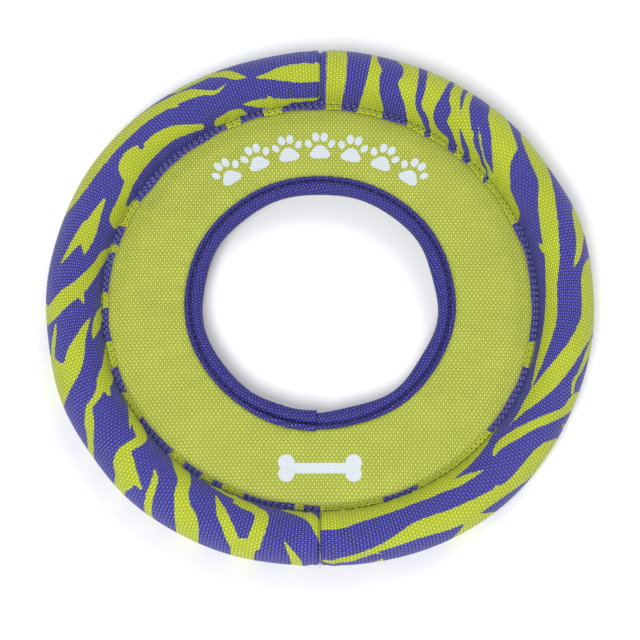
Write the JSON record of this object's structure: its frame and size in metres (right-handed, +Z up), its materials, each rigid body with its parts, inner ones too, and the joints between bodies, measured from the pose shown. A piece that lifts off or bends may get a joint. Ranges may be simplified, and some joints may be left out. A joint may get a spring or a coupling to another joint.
{
  "type": "flying ring",
  "caption": "Soft fabric flying ring: a stuffed tube in a printed cover round a padded web with a bound hand hole.",
  "frame": {"origin": "centre of the footprint, on the surface that the ring lies on", "axes": "+Z up through the hand hole; +Y towards the far joint of the tube's cover, which is at the top when the ring is seen from the front; +X to the right"},
  "size_m": [0.25, 0.251, 0.0256],
  "materials": {
    "printed_cloth": "violet and lime striped print on coated oxford weave",
    "web_cloth": "lime coated oxford weave",
    "binding_cloth": "violet oxford tape",
    "print_ink": "white ink printed on the coated weave, matt",
    "lime_thread": "lime polyester thread",
    "violet_thread": "dark violet polyester thread",
    "core_foam": "white closed-cell polyethylene foam",
    "sheet_foam": "white soft foam sheet"
  },
  "bodies": {
    "root": {"foam_core": "core_foam", "binding": "binding_cloth", "web_foam": "sheet_foam", "web_front": "web_cloth", "web_back": "web_cloth", "cover_left": "printed_cloth", "cover_right": "printed_cloth", "hem_thread_front_outer": "lime_thread", "hem_thread_front_inner": "lime_thread", "hem_thread_back_outer": "lime_thread", "hem_thread_back_inner": "lime_thread", "joint_thread_far": "lime_thread", "joint_thread_near": "lime_thread", "binding_thread_front": "violet_thread", "binding_thread_back": "violet_thread"}
  },
  "joints": []
}
